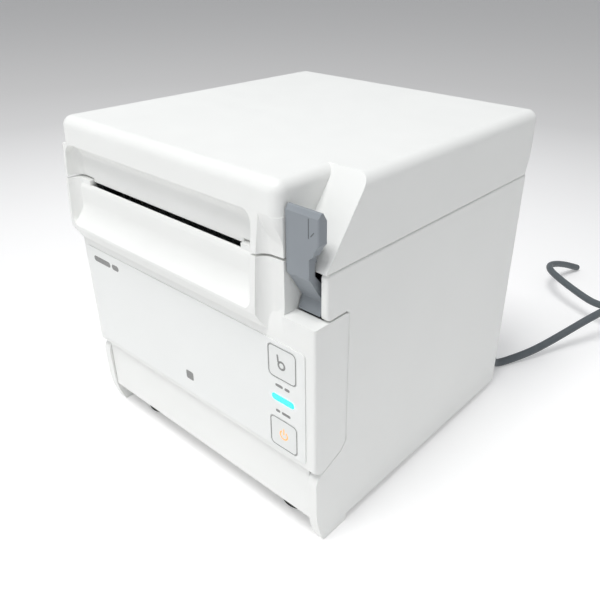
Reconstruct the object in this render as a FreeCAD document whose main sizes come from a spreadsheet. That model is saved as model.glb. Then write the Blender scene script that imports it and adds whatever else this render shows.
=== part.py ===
import FreeCAD, Part
import math
import os

import Sketcher
from FreeCAD import Placement, Rotation, Vector

# A cube-shaped thermal receipt printer with a front paper exit.
# +X is the right-hand side seen from the front, +Y points to the rear, +Z is up.
# The origin is the centre of the footprint, level with the table the feet stand on.

doc = FreeCAD.newDocument("receipt_printer")
sheet = doc.addObject("Spreadsheet::Sheet", "dims")

DRIVING = {
    "body_width": 130.0,
    "body_depth": 134.0,
    "total_height": 135.0,
    "wall": 2.5,
    "seam_height": 108.6,
    "seam_gap": 0.4,
    "underside": 3.0,
    "cover_overhang": 2.4,
    "top_radius": 4.0,
    "channel_radius": 3.5,
    "rear_radius": 3.0,
    "panel_bottom": 35.5,
    "panel_back": 2.5,
    "wrap_depth": 15.8,
    "ledge_height": 92.3,
    "ledge_depth": 6.6,
    "channel_left": 51.4,
    "bezel_forward": 2.4,
    "bezel_top": 110.6,
    "bezel_bottom": 90.8,
    "bezel_left": -63.5,
    "bezel_right": 40.6,
    "band_bottom": 124.4,
    "bezel_radius": 4.5,
    "corner_radius": 3.5,
    "scoop_depth": 1.1,
    "slot_left": -54.5,
    "slot_right": 32.0,
    "lip_height": 108.7,
    "key_size": 12.4,
    "key_centre_x": 50.9,
    "feed_key_z": 74.2,
    "power_key_z": 45.0,
    "light_z": 59.7,
    "key_gap": 0.2,
    "sheet_thick": 0.35,
    "paper_x": -11.25,
    "paper_width": 80.0,
    "bay_width": 84.0,
    "bay_low": 36.0,
    "bay_front": 45.0,
    "bay_rear": 129.0,
    "bay_wall": 1.5,
    "platen_y": 26.0,
    "platen_z": 113.0,
    "platen_radius": 6.0,
    "shaft_radius": 2.5,
    "bush_radius": 4.0,
    "run_gap": 0.05,
    "hinge_y": 133.2,
    "hinge_z": 112.2,
    "hinge_radius": 3.2,
    "pin_radius": 1.5,
    "latch_y": 18.0,
    "latch_z": 98.0,
    "latch_radius": 2.0,
    "cutter_y": 20.6,
    "cutter_z": 82.0,
    "frame_left": -57.5,
    "frame_right": 37.4,
    "frame_sheet": 1.4,
    "mount_x": 44.0,
    "mount_y": 50.0,
    "foot_radius": 9.0,
    "board_z": 12.0,
    "cable_radius": 2.0,
}

for row, (alias, value) in enumerate(DRIVING.items(), start=1):
    sheet.set(f"A{row}", alias.replace("_", " "))
    sheet.set(f"B{row}", str(value))
    sheet.setAlias(f"B{row}", alias)
doc.recompute()


class Size:
    """A length that knows its present value and the sheet formula that gives it."""

    def __init__(self, value, text):
        self.value = value
        self.text = text

    def __add__(self, other):
        other = as_size(other)
        return Size(self.value + other.value, f"({self.text} + {other.text})")

    def __sub__(self, other):
        other = as_size(other)
        return Size(self.value - other.value, f"({self.text} - {other.text})")

    def __mul__(self, factor):
        return Size(self.value * factor, f"({self.text} * {factor})")

    def __truediv__(self, factor):
        return Size(self.value / factor, f"({self.text} / {factor})")

    def __neg__(self):
        return Size(-self.value, f"(0 - {self.text})")

    def __radd__(self, other):
        return as_size(other) + self

    def __rsub__(self, other):
        return as_size(other) - self

    __rmul__ = __mul__


def as_size(number):
    """A plain number as a Size, or the Size itself."""
    if isinstance(number, Size):
        return number
    return Size(float(number), repr(round(float(number), 6)))


def dim(alias):
    """The Size held by one cell of the sheet."""
    return Size(DRIVING[alias], f"dims.{alias}")


def drive(item, prop, size):
    """Bind one property of an object to the sheet."""
    item.setExpression(prop, as_size(size).text)


def drive_place(item, x, y, z, prop="Placement"):
    """Bind where an object stands."""
    for axis, size in zip("xyz", (x, y, z)):
        drive(item, f"{prop}.Base.{axis}", size)


HALF = dim("body_width") / 2
FRONT = -dim("body_depth") / 2
REAR = dim("body_depth") / 2
TOP = dim("total_height")
SEAM = dim("seam_height")
COVER_LOW = SEAM + dim("seam_gap")
COVER_REAR = REAR + dim("cover_overhang")
WALL = dim("wall")
UNDER = dim("underside")
LEDGE = dim("ledge_height")
CHANNEL = dim("channel_left")
PANEL_LOW = dim("panel_bottom")
PANEL_BACK = FRONT + dim("panel_back")
BEZEL_FACE = FRONT - dim("bezel_forward")
BEZEL_TOP = dim("bezel_top")
BEZEL_LOW = dim("bezel_bottom")
BEZEL_LEFT = dim("bezel_left")
BEZEL_RIGHT = dim("bezel_right")
SCOOP = FRONT + dim("scoop_depth")
KEY_X = dim("key_centre_x")
PAPER_X = dim("paper_x")
PAPER_WIDTH = dim("paper_width")
PLATEN = (FRONT + dim("platen_y"), dim("platen_z"))
HINGE = (FRONT + dim("hinge_y"), dim("hinge_z"))
LATCH = (FRONT + dim("latch_y"), dim("latch_z"))
CUTTER = (FRONT + dim("cutter_y"), dim("cutter_z"))
PAST = 10.0  # how far a cutting shape runs past the face it breaks

nodes = []


def node(item, label):
    """Name a finished sub-part; its label is also the name of its file."""
    item.Label = label
    nodes.append(item)
    return item


# ---------------------------------------------------------------- simple solids

def box(name, x, y, z):
    """A block between a low and a high value on each axis."""
    block = doc.addObject("Part::Box", name)
    for prop, (low, high) in zip(("Length", "Width", "Height"), (x, y, z)):
        drive(block, prop, as_size(high) - low)
    drive_place(block, x[0], y[0], z[0])
    return block


TURN = {"X": Rotation(Vector(0, 1, 0), 90), "Y": Rotation(Vector(1, 0, 0), -90), "Z": Rotation()}


def rod(name, axis, radius, start, length):
    """A round bar that runs from its start point along +X, +Y or +Z."""
    bar = doc.addObject("Part::Cylinder", name)
    bar.Placement = Placement(Vector(), TURN[axis])
    drive(bar, "Radius", radius)
    drive(bar, "Height", length)
    drive_place(bar, *start)
    return bar


def fuse(name, items):
    joined = doc.addObject("Part::MultiFuse", name)
    joined.Shapes = items
    joined.Refine = True
    return joined


def cut(name, base, tools):
    """The base with every tool taken out of it."""
    tool = tools[0] if len(tools) == 1 else fuse(name + "_tools", tools)
    rest = doc.addObject("Part::Cut", name)
    rest.Base = base
    rest.Tool = tool
    rest.Refine = True
    return rest


def group(name, items):
    """Several separate solids kept together under one name."""
    several = doc.addObject("Part::Compound", name)
    several.Links = items
    return several


def shape_of(name, shape):
    """A sub-part whose shape comes straight from Part's own functions."""
    feature = doc.addObject("Part::Feature", name)
    feature.Shape = shape
    return feature


# ---------------------------------------------------------------- sketched solids

PLANES = {"YZ": "YZ_Plane", "XZ": "XZ_Plane", "XY": "XY_Plane"}


def arc_centre(start, end, radius):
    """The centre of the arc that runs from start to end, to the left of its chord if radius is positive."""
    chord = end - start
    rise = math.sqrt(max(radius * radius - chord.Length ** 2 / 4, 0.0))
    side = Vector(-chord.y, chord.x, 0).normalize()
    return start + chord / 2 + side * math.copysign(rise, radius)


def outline(sketch, points):
    """Draw one closed outline. A point may carry, as a third value, the radius of the arc that leaves it."""
    places = [Vector(as_size(p[0]).value, as_size(p[1]).value, 0) for p in points]
    ends = []
    for index, point in enumerate(points):
        start = places[index]
        end = places[(index + 1) % len(points)]
        if len(point) == 2:
            ends.append((sketch.addGeometry(Part.LineSegment(start, end)), 1, 2))
            continue
        bend = as_size(point[2])
        centre = arc_centre(start, end, bend.value)
        first, last = (start, end) if bend.value > 0 else (end, start)
        angles = [math.atan2(q.y - centre.y, q.x - centre.x) for q in (first, last)]
        circle = Part.Circle(centre, Vector(0, 0, 1), abs(bend.value))
        edge = sketch.addGeometry(Part.ArcOfCircle(circle, angles[0], angles[1]))
        number = sketch.addConstraint(Sketcher.Constraint("Radius", edge, abs(bend.value)))
        sketch.setExpression(f"Constraints[{number}]", f"abs({bend.text})")
        ends.append((edge, 1, 2) if bend.value > 0 else (edge, 2, 1))
    for index, point in enumerate(points):
        edge, tail, head = ends[index]
        following = ends[(index + 1) % len(points)]
        sketch.addConstraint(Sketcher.Constraint("Coincident", edge, head, following[0], following[1]))
        for kind, size in (("DistanceX", point[0]), ("DistanceY", point[1])):
            size = as_size(size)
            number = sketch.addConstraint(Sketcher.Constraint(kind, -1, 1, edge, tail, size.value))
            sketch.setExpression(f"Constraints[{number}]", size.text)


def circles(sketch, centres, radius):
    """Draw round holes or posts."""
    for x, y in centres:
        x, y, size = as_size(x), as_size(y), as_size(radius)
        circle = Part.Circle(Vector(x.value, y.value, 0), Vector(0, 0, 1), size.value)
        edge = sketch.addGeometry(circle)
        for kind, value in (("DistanceX", x), ("DistanceY", y)):
            number = sketch.addConstraint(Sketcher.Constraint(kind, -1, 1, edge, 3, value.value))
            sketch.setExpression(f"Constraints[{number}]", value.text)
        number = sketch.addConstraint(Sketcher.Constraint("Radius", edge, size.value))
        sketch.setExpression(f"Constraints[{number}]", size.text)


def rectangle(x, y):
    """The corners of a rectangle between two low and high pairs."""
    return [(x[0], y[0]), (x[1], y[0]), (x[1], y[1]), (x[0], y[1])]


def rounded(x, y, radius):
    """A rectangle with round corners."""
    (left, right), (low, high) = x, y
    return [
        (left + radius, low), (right - radius, low, radius),
        (right, low + radius), (right, high - radius, radius),
        (right - radius, high), (left + radius, high, radius),
        (left, high - radius), (left, low + radius, radius),
    ]


def hollow(name, *prisms):
    """The space shared by several prisms, as a tool for a hollow that is rounded in every view."""
    space = doc.addObject("Part::MultiCommon", name)
    space.Shapes = prisms
    doc.recompute()
    assert space.Shape.Solids, f"{name} is empty"
    return space


class Moulding:
    """A PartDesign body that is built up from pads, pockets and fillets."""

    def __init__(self, label):
        self.body = doc.addObject("PartDesign::Body", label)
        self.count = 0

    def sketch(self, plane, level):
        """An empty sketch on an origin plane, moved along the plane's own normal."""
        self.count += 1
        sketch = self.body.newObject("Sketcher::SketchObject", f"{self.body.Name}_sketch{self.count}")
        role = PLANES[plane]
        flat = [f for f in self.body.Origin.OriginFeatures if f.Role == role][0]
        sketch.AttachmentSupport = (flat, [""])
        sketch.MapMode = "FlatFace"
        drive(sketch, "AttachmentOffset.Base.z", level)
        return sketch

    def swept(self, kind, plane, span, draw):
        """A pad or a pocket between two levels, measured along +X, +Y or +Z."""
        low, high = span
        level = -as_size(high) if plane == "XZ" else low
        sketch = self.sketch(plane, level)
        draw(sketch)
        feature = self.body.newObject(f"PartDesign::{kind}", f"{self.body.Name}_{kind}{self.count}")
        feature.Profile = sketch
        drive(feature, "Length", as_size(high) - low)
        feature.Reversed = kind == "Pocket"
        return feature

    def pad(self, plane, span, *outlines):
        return self.swept("Pad", plane, span, lambda s: [outline(s, points) for points in outlines])

    def pocket(self, plane, span, *outlines):
        before = self.volume()
        feature = self.swept("Pocket", plane, span, lambda s: [outline(s, points) for points in outlines])
        assert self.volume() < before, f"{feature.Name} cuts nothing"
        return feature

    def pad_rounds(self, plane, span, centres, radius):
        return self.swept("Pad", plane, span, lambda s: circles(s, centres, radius))

    def pocket_rounds(self, plane, span, centres, radius):
        before = self.volume()
        feature = self.swept("Pocket", plane, span, lambda s: circles(s, centres, radius))
        assert self.volume() < before, f"{feature.Name} cuts nothing"
        return feature

    def round_edges(self, radius, wanted):
        """Fillet every edge that the test picks."""
        doc.recompute()
        base = self.body.Tip
        names = [f"Edge{i + 1}" for i, edge in enumerate(base.Shape.Edges) if wanted(edge)]
        assert names, f"no edge to round on {self.body.Name}"
        fillet = self.body.newObject("PartDesign::Fillet", f"{self.body.Name}_fillet{self.count}")
        self.count += 1
        fillet.Base = (base, names)
        drive(fillet, "Radius", radius)
        doc.recompute()
        if fillet.State and "Invalid" in fillet.State:
            print("fillet failed", self.body.Name, radius, names)
        return fillet

    def volume(self):
        doc.recompute()
        return self.body.Tip.Shape.Volume


def middle(edge):
    """The point half-way between the ends of an edge."""
    return (edge.Vertexes[0].Point + edge.Vertexes[-1].Point) / 2


def near(value, size, reach=0.05):
    return abs(value - as_size(size).value) < reach


def runs(edge, axis):
    """Is this a straight edge along the axis?"""
    if len(edge.Vertexes) < 2:
        return False
    along = edge.Vertexes[1].Point - edge.Vertexes[0].Point
    return abs(abs(getattr(along, axis)) - edge.Length) < 0.001


def edge_at(axis, **place):
    """A test for straight edges along an axis that lie at the given coordinates."""
    def test(edge):
        point = middle(edge)
        return runs(edge, axis) and all(near(getattr(point, k), v) for k, v in place.items())
    return test


def any_of(*tests):
    return lambda edge: any(test(edge) for test in tests)


# ---------------------------------------------------------------- shared outlines

FEED_Z = dim("feed_key_z")
POWER_Z = dim("power_key_z")


def pillar_space(name, profile):
    """The hollow between the bezel ridge and the lever channel: round in plan, with a sloping end."""
    left, right = BEZEL_RIGHT + 2.4, CHANNEL + 0.1
    side = Moulding(name + "_side")
    side.pad("YZ", (left - 1, right + 1), profile)
    plan = Moulding(name + "_plan")
    plan.pad("XY", (PANEL_LOW, TOP), [
        (left, FRONT - PAST), (left, FRONT - 2.6, -4.4), (left + 4.6, FRONT + 0.8),
        (right, FRONT + 1.2), (right, FRONT - PAST)])
    return hollow(name, side.body, plan.body)


def bezel_space(name, profile, back, bend):
    """The hollow inside the bezel: a side profile, rounded in the front view and, at its back, in plan."""
    reach = as_size(PAST)
    left, right, low, high = BEZEL_LEFT, BEZEL_RIGHT, BEZEL_LOW + 0.4, dim("band_bottom")
    side = Moulding(name + "_side")
    side.pad("YZ", (left - 1, right + 1), profile)
    face = Moulding(name + "_face")
    face.pad("XZ", (FRONT - reach, FRONT + reach), rounded((left, right), (low, high), dim("bezel_radius")))
    plan = Moulding(name + "_plan")
    plan.pad("XY", (low - 1, high + 1), [
        (left, FRONT - reach), (right, FRONT - reach), (right, back - bend, bend), (right - bend, back),
        (left + bend, back, bend), (left, back - bend)])
    return hollow(name, side.body, face.body, plan.body)


def key_outline(z, margin):
    """A round-cornered square about a key's centre, in a front view."""
    half = dim("key_size") / 2 + margin
    return rounded((KEY_X - half, KEY_X + half), (z - half, z + half), 1.8 + margin)


def light_outline(margin):
    """The long window of the status light, in a front view."""
    half_tall = 1.25 + margin
    left, right = KEY_X - 4.1, KEY_X + 4.1
    low, high = dim("light_z") - half_tall, dim("light_z") + half_tall
    bow = half_tall * 1.02
    return [(left, low), (right, low, bow), (right, high), (left, high, bow)]


# ---------------------------------------------------------------- outer mouldings

def make_lower_case():
    """Two side walls with cheeks and front feet, and the rear wall with the hinge lugs."""
    case = Moulding("lower_case")
    side = [
        (FRONT + 4.8, 0), (FRONT + 17, 0), (FRONT + 17.6, UNDER),
        (REAR - 2.2, UNDER), (REAR, UNDER + 2.2),
        (REAR, SEAM), (FRONT + 7, SEAM, 1.5),
        (FRONT + 5.5, SEAM - 1.5), (FRONT + 5.5, LEDGE + 2.3, 2.0),
        (FRONT + 7.5, LEDGE + 0.3), (FRONT + 14.6, LEDGE + 0.3, -1.5),
        (FRONT + 16.1, LEDGE - 1.2), (FRONT + 16.1, PANEL_LOW + 4.8),
        (FRONT + 13.6, PANEL_LOW + 1.6), (FRONT + 3.4, PANEL_LOW - 2.5),
        (FRONT + 2.3, PANEL_LOW - 2.9, 6.5), (FRONT + 0.7, 27.5),
        (FRONT + 0.9, 17, 39.0),
    ]
    case.pad("YZ", (-HALF, HALF), side)
    inner, cheek, step = HALF - WALL, HALF - 4.0, FRONT + 13
    case.pocket("XY", (-PAST, SEAM + PAST), rectangle((-inner, inner), (step, REAR - WALL)))
    case.pocket("XY", (-PAST, PANEL_LOW), rectangle((-cheek, cheek), (FRONT - PAST, step)))
    case.pocket("XY", (PANEL_LOW - 1, SEAM + PAST), rectangle((-inner, inner), (FRONT - PAST, step)))
    for x in (-40.0, 40.0):
        span = (x - 3.7, x + 3.7)
        case.pad("YZ", span, rectangle((REAR - WALL - 0.5, REAR), (SEAM - 9, HINGE[1])))
        case.pad_rounds("YZ", span, [HINGE], dim("hinge_radius"))
        case.pocket_rounds("YZ", span, [HINGE], dim("pin_radius"))
    case.pocket("XZ", (REAR - PAST, REAR + PAST), rounded((-48.0, 52.0), (11.0, 31.0), 2.0))
    for x in ((-inner - 0.5, -inner + 7), (inner - 7, inner + 0.5)):
        for y in ((FRONT + 16.5, FRONT + 23.5), (REAR - 10, REAR - WALL + 0.5)):
            case.pad("XY", (UNDER + 2.6, 20.0), rectangle(x, y))
    case.pocket_rounds("XY", (-PAST, 16.0), screw_places(), 1.25)
    case.round_edges(dim("rear_radius"), any_of(
        edge_at("z", x=HALF, y=REAR), edge_at("z", x=-HALF, y=REAR)))
    case.round_edges(0.9, any_of(
        edge_at("z", x=HALF, y=FRONT + 5.5), edge_at("z", x=-HALF, y=FRONT + 5.5)))
    node(case.body, "lower_case")


def screw_places():
    """Where the base plate is screwed up into the corner posts of the case."""
    return [(x, y) for x in (-58.5, 58.5) for y in (FRONT + 20, REAR - 6)]


def make_top_cover():
    """The hinged lid: a hollow box with the upper half of the front bezel and the lever channel."""
    cover = Moulding("lid_body")
    low = BEZEL_TOP + 0.9
    slot = (dim("slot_left"), dim("slot_right"))
    slot_roof = dim("lip_height") + 1.3
    band = dim("band_bottom")
    side = [
        (FRONT - 0.7, TOP), (FRONT - 1.2, band), (FRONT + 4.8, band), (FRONT + 4.8, COVER_LOW),
        (REAR, COVER_LOW, 31.2), (COVER_REAR, TOP - 14), (COVER_REAR, TOP),
    ]
    cover.pad("YZ", (-HALF, HALF), side)
    cover.round_edges(dim("corner_radius"), lambda edge: (
        near(middle(edge).x, -HALF) and near(middle(edge).y, FRONT - 0.95, 0.3) and edge.Length > 9))
    slanted = [
        (FRONT - PAST, COVER_LOW - 1), (FRONT + 4.8, COVER_LOW - 1), (FRONT + 4.8, COVER_LOW),
        (FRONT + 24, TOP), (FRONT + 24.8, TOP + 1), (FRONT - PAST, TOP + 1),
    ]
    cover.pocket("YZ", (CHANNEL, HALF + PAST), slanted)
    cover.round_edges(dim("channel_radius"), edge_at("y", x=CHANNEL, z=TOP))
    cover.round_edges(dim("top_radius"), any_of(
        edge_at("y", x=HALF, z=TOP), edge_at("y", x=-HALF, z=TOP), edge_at("x", y=COVER_REAR, z=TOP),
        edge_at("z", x=HALF, y=COVER_REAR), edge_at("z", x=-HALF, y=COVER_REAR)))
    ridge = [(FRONT - 1.2, band), (BEZEL_FACE + 0.1, low), (FRONT + 5.5, low), (FRONT + 5.5, band)]
    cover.pad("YZ", (-HALF, CHANNEL), ridge)
    roof = TOP - WALL
    rear_inside = [
        (REAR - WALL, COVER_LOW - 1), (REAR - WALL, COVER_LOW + 2),
        (COVER_REAR - WALL, TOP - 14), (COVER_REAR - WALL, roof),
    ]
    divider = CHANNEL - WALL
    hollow = [(FRONT + 7, COVER_LOW - 1)] + rear_inside + [
        (FRONT + 1, roof), (FRONT + 1, TOP - 6), (FRONT + 7, TOP - 14)]
    cover.pocket("YZ", (-HALF + WALL, divider), hollow)
    corner = [(FRONT + 8, COVER_LOW - 1)] + rear_inside + [
        (FRONT + 25.3, roof), (FRONT + 8, COVER_LOW + 0.1)]
    cover.pocket("YZ", (divider, HALF - WALL), corner)
    cover.pocket("XY", (low - 1, TOP + 1), [
        (CHANNEL - 4, FRONT - PAST), (CHANNEL - 4, FRONT - 1.3, 4.55), (CHANNEL + 0.1, FRONT + 1.3),
        (CHANNEL + 0.1, FRONT - PAST)])
    cover.pad("YZ", (slot[0] + 0.3, slot[1] - 0.3),
              rectangle((FRONT + 3.4, FRONT + 6.2), (slot_roof, low + 0.5)))
    cover.pocket("YZ", slot, rectangle((FRONT + 3, FRONT + 8), (COVER_LOW - 1, slot_roof)))
    cover.pad_rounds("XY", (123.0, roof + 0.5), holder_screw_places(), 3.0)
    cover.pocket_rounds("XY", (122.0, 130.0), holder_screw_places(), 1.0)
    for x in (-40.0, 40.0):
        cover.pocket("XZ", (REAR - WALL - 3, COVER_REAR + 1),
                     rectangle((x - 3.9, x + 3.9), (COVER_LOW - 1, HINGE[1] + 4.3)))
        for low_x in (x - 9.9, x + 3.9):
            cover.pad_rounds("YZ", (low_x, low_x + 6.0), [HINGE], dim("hinge_radius"))
        cover.pocket_rounds("YZ", (x - 9.9, x + 9.9), [HINGE], dim("pin_radius") + dim("run_gap"))
    recess = [
        (FRONT - PAST, low - 2), (FRONT + 3.4, low - 2), (FRONT + 3.4, band - 5.4, 5.4),
        (FRONT - 1.6, band), (FRONT - PAST, band),
    ]
    fading = [
        (FRONT - PAST, low - 1), (FRONT + 1.3, low - 1), (FRONT + 1.3, 112.0, 22.3), (FRONT, 119.5, -22.3),
        (FRONT - 1.3, 127.0), (FRONT - PAST, 127.0),
    ]
    spaces = [
        bezel_space("recess", recess, FRONT + 3.4, dim("corner_radius")),
        pillar_space("upper_hollow", fading),
    ]
    node(cut("hollowed_lid", cover.body, spaces), "top_cover")


def holder_screw_places():
    """Where the platen holder is screwed to the posts under the lid."""
    return [(x, FRONT + y) for x in (-45.0, 25.0) for y in (19.5, 32.5)]


def make_front_panel():
    """The front moulding: lower bezel with the paper lip, flat face, and the wraps round both sides."""
    panel = Moulding("panel_body")
    lip = dim("lip_height")
    nose = BEZEL_FACE - 1.1
    face = [
        (BEZEL_FACE, BEZEL_TOP), (nose, BEZEL_LOW + 3), (nose, BEZEL_LOW), (FRONT, BEZEL_LOW - 5.8),
        (FRONT, PANEL_LOW), (PANEL_BACK, PANEL_LOW), (PANEL_BACK, BEZEL_LOW - 5),
        (FRONT + 4.4, BEZEL_LOW), (FRONT + 4.4, BEZEL_TOP),
    ]
    panel.pad("YZ", (-HALF, CHANNEL), face)
    ledge = [
        (FRONT, LEDGE), (FRONT, PANEL_LOW), (PANEL_BACK, PANEL_LOW), (PANEL_BACK, LEDGE - 2.5),
        (FRONT + dim("ledge_depth"), LEDGE - 2.5), (FRONT + dim("ledge_depth"), LEDGE),
    ]
    panel.pad("YZ", (CHANNEL, HALF), ledge)
    back = FRONT + dim("wrap_depth")
    wrap = [
        (FRONT, PANEL_LOW), (FRONT + 3.3, PANEL_LOW - 2.3), (FRONT + 13.4, PANEL_LOW + 1.8),
        (back, PANEL_LOW + 4.9), (back, LEDGE - 1.2, 1.2), (back - 1.2, LEDGE), (FRONT, LEDGE),
    ]
    for span in ((-HALF, -HALF + WALL), (HALF - WALL, HALF)):
        panel.pad("YZ", span, wrap)
    panel.pad("YZ", (-HALF, -HALF + WALL),
              rectangle((FRONT + 4, FRONT + 5.2), (LEDGE - 1, SEAM - 0.2)))
    panel.pocket("YZ", (dim("slot_left"), dim("slot_right")),
                 rectangle((FRONT - PAST, FRONT + PAST), (lip, BEZEL_TOP + 1)))
    panel.pocket("YZ", (dim("slot_left"), dim("slot_right")),
                 rectangle((SCOOP + 1.4, FRONT + PAST), (lip - 6, BEZEL_TOP + 1)))
    panel.pad("YZ", (CHANNEL - WALL, CHANNEL),
              rectangle((FRONT + 1.5, FRONT + 11), (LEDGE - 2.5, COVER_LOW - 0.6)))
    panel.round_edges(1.0, any_of(
        edge_at("z", x=HALF, y=FRONT), edge_at("z", x=-HALF, y=FRONT)))
    gap = dim("key_gap")
    panel.pocket("XZ", (FRONT - PAST, PANEL_BACK + 1),
                 key_outline(FEED_Z, gap), key_outline(POWER_Z, gap), light_outline(0.1))
    deepest = SCOOP + 0.6
    scoop = [
        (FRONT - PAST, BEZEL_TOP + 2), (FRONT - PAST, BEZEL_LOW + 1), (nose, BEZEL_LOW + 1, 13.0),
        (SCOOP, BEZEL_LOW + 10.45), (SCOOP, lip - 2.2, -5.0), (deepest, lip + 0.1), (deepest, BEZEL_TOP + 2),
    ]
    fading = [
        (FRONT - PAST, 84.8), (FRONT, 84.8, -33.8), (FRONT + 0.65, 91.4, 33.8), (FRONT + 1.3, 98.0),
        (FRONT + 1.3, BEZEL_TOP + 1), (FRONT - PAST, BEZEL_TOP + 1),
    ]
    spaces = [bezel_space("scoop", scoop, FRONT + 2.1, as_size(5.4)), pillar_space("lower_hollow", fading)]
    node(cut("hollowed_panel", panel.body, spaces), "front_panel")


def make_panel_overlay():
    """The thin sheet stuck on the flat face, with windows for the keys and the light."""
    overlay = Moulding("panel_overlay")
    gap = dim("key_gap")
    overlay.pad("XZ", (FRONT - dim("sheet_thick"), FRONT),
                rounded((-62.3, 61.0), (37.4, 82.2), 1.5),
                key_outline(FEED_Z, gap), key_outline(POWER_Z, gap), light_outline(0.1))
    node(overlay.body, "panel_overlay")


def make_key(label, z):
    """A square key: cap, a retaining flange behind the panel, and the stem that meets its switch."""
    key = Moulding(label)
    key.pad("XZ", (FRONT - dim("sheet_thick"), PANEL_BACK + 0.8), key_outline(z, 0))
    key.pad("XZ", (PANEL_BACK + 0.2, PANEL_BACK + 0.8), key_outline(z, 1.0))
    key.pad_rounds("XZ", (PANEL_BACK + 0.8, PANEL_BACK + 1.4), [(KEY_X, z)], 2.0)
    node(key.body, label)


def make_status_light():
    """The clear light bar between the keys."""
    lens = Moulding("status_light")
    lens.pad("XZ", (FRONT - dim("sheet_thick"), PANEL_BACK + 0.5), light_outline(0.0))
    node(lens.body, "status_light")


def make_lower_front_cover():
    """The set-back strip under the front panel, turned in along its lower edge."""
    strip = Moulding("lower_front_cover")
    side = [
        (FRONT + 3.3, 9.7), (FRONT + 14, 9.7), (FRONT + 14, 12.0), (FRONT + 4.3, 12.0),
        (FRONT + 4.3, PANEL_LOW - 0.3), (FRONT + 1.8, PANEL_LOW - 0.3), (FRONT + 1.8, 11.2, 1.5),
    ]
    strip.pad("YZ", (-HALF + 4.3, HALF - 4.3), side)
    node(strip.body, "lower_front_cover")


# ---------------------------------------------------------------- base and feet

MOUNT_PLACES = [(i * dim("mount_x"), j * dim("mount_y")) for i in (-1, 1) for j in (-1, 1)]


def make_base_plate():
    """The bottom plate with the tapped mounting bosses and the posts of the main board."""
    base = Moulding("base_plate")
    top = UNDER + 2.5
    wide, narrow, step = HALF - WALL - 0.3, HALF - 4.3, FRONT + 13.3
    plan = [
        (-narrow, FRONT + 15), (narrow, FRONT + 15), (narrow, step + 3), (wide, step + 3),
        (wide, REAR - WALL - 0.3), (-wide, REAR - WALL - 0.3), (-wide, step + 3), (-narrow, step + 3),
    ]
    base.pad("XY", (UNDER, top), plan)
    base.pad_rounds("XY", (0.3, 9.0), MOUNT_PLACES, 4.0)
    base.pad_rounds("XY", (top - 0.5, dim("board_z")), board_post_places(), 2.5)
    base.pocket_rounds("XY", (-1.0, 10.0), MOUNT_PLACES, 1.25)
    base.pocket_rounds("XY", (UNDER - 1, top + 1), screw_places(), 1.6)
    base.pocket_rounds("XY", (UNDER - 1, UNDER + 1.5), screw_places(), 3.0)
    node(base.body, "base_plate")


def board_post_places():
    return [(x, FRONT + y) for x in (-50.0, 50.0) for y in (50.0, 122.0)]


def frame_post_places():
    return [(x, FRONT + y) for x in (-48.0, 48.0) for y in (24.0, 38.0)]


def make_frame_posts():
    """Four steel posts standing on the bottom plate, with tapped tops that carry the mechanism."""
    foot, tapping, top = UNDER + 2.5, 50.0, 60.0
    posts = []
    for number, (x, y) in enumerate(frame_post_places()):
        post = rod(f"post_bar{number}", "Z", 3.0, (x, y, foot), top - foot)
        bore = rod(f"post_bore{number}", "Z", 1.25, (x, y, tapping), top - tapping + PAST)
        posts.append(cut(f"post{number}", post, [bore]))
    node(group("post_set", posts), "frame_posts")


def make_rubber_feet():
    """Four rubber rings round the mounting bosses; the printer stands on them."""
    rings = []
    for number, (x, y) in enumerate(MOUNT_PLACES):
        disc = rod(f"foot_disc{number}", "Z", dim("foot_radius"), (x, y, 0), UNDER)
        hole = rod(f"foot_hole{number}", "Z", 4.3, (x, y, -1), UNDER + 2)
        rings.append(cut(f"foot{number}", disc, [hole]))
    node(group("feet", rings), "rubber_feet")


def screw(name, x, y, z, length, radius, head_radius, head_below=True):
    """A pan-head screw along Z: the shank starts at z and runs up, or down if its head is on top."""
    head_z = as_size(z) - 1.4 if head_below else as_size(z) + length
    shank = rod(name + "_shank", "Z", radius, (x, y, z), length)
    head = rod(name + "_head", "Z", head_radius, (x, y, head_z), 1.4)
    return fuse(name, [shank, head])


def make_screws():
    """The screws under the base, on the frame posts and under the lid."""
    under = [screw(f"base_screw{i}", x, y, UNDER + 1.5, 11.0, 1.24, 2.8)
             for i, (x, y) in enumerate(screw_places())]
    node(group("base_screw_set", under), "base_screws")
    frame = [screw(f"frame_screw{i}", x, y, 52.0, 9.4, 1.24, 2.6, head_below=False)
             for i, (x, y) in enumerate(frame_post_places())]
    node(group("frame_screw_set", frame), "frame_screws")
    lid = [screw(f"holder_screw{i}", x, y, 121.0, 8.0, 0.99, 2.2)
           for i, (x, y) in enumerate(holder_screw_places())]
    node(group("holder_screw_set", lid), "holder_screws")


def make_hinge_pins():
    """Two pins pressed in the case's lugs; the lid's knuckles turn on them."""
    pins = [rod(f"hinge_pin{i}", "X", dim("pin_radius"), (x - 9.9, *HINGE), 19.8)
            for i, x in enumerate((-40.0, 40.0))]
    node(group("hinge_pin_pair", pins), "hinge_pins")


# ---------------------------------------------------------------- opening lever

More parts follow.
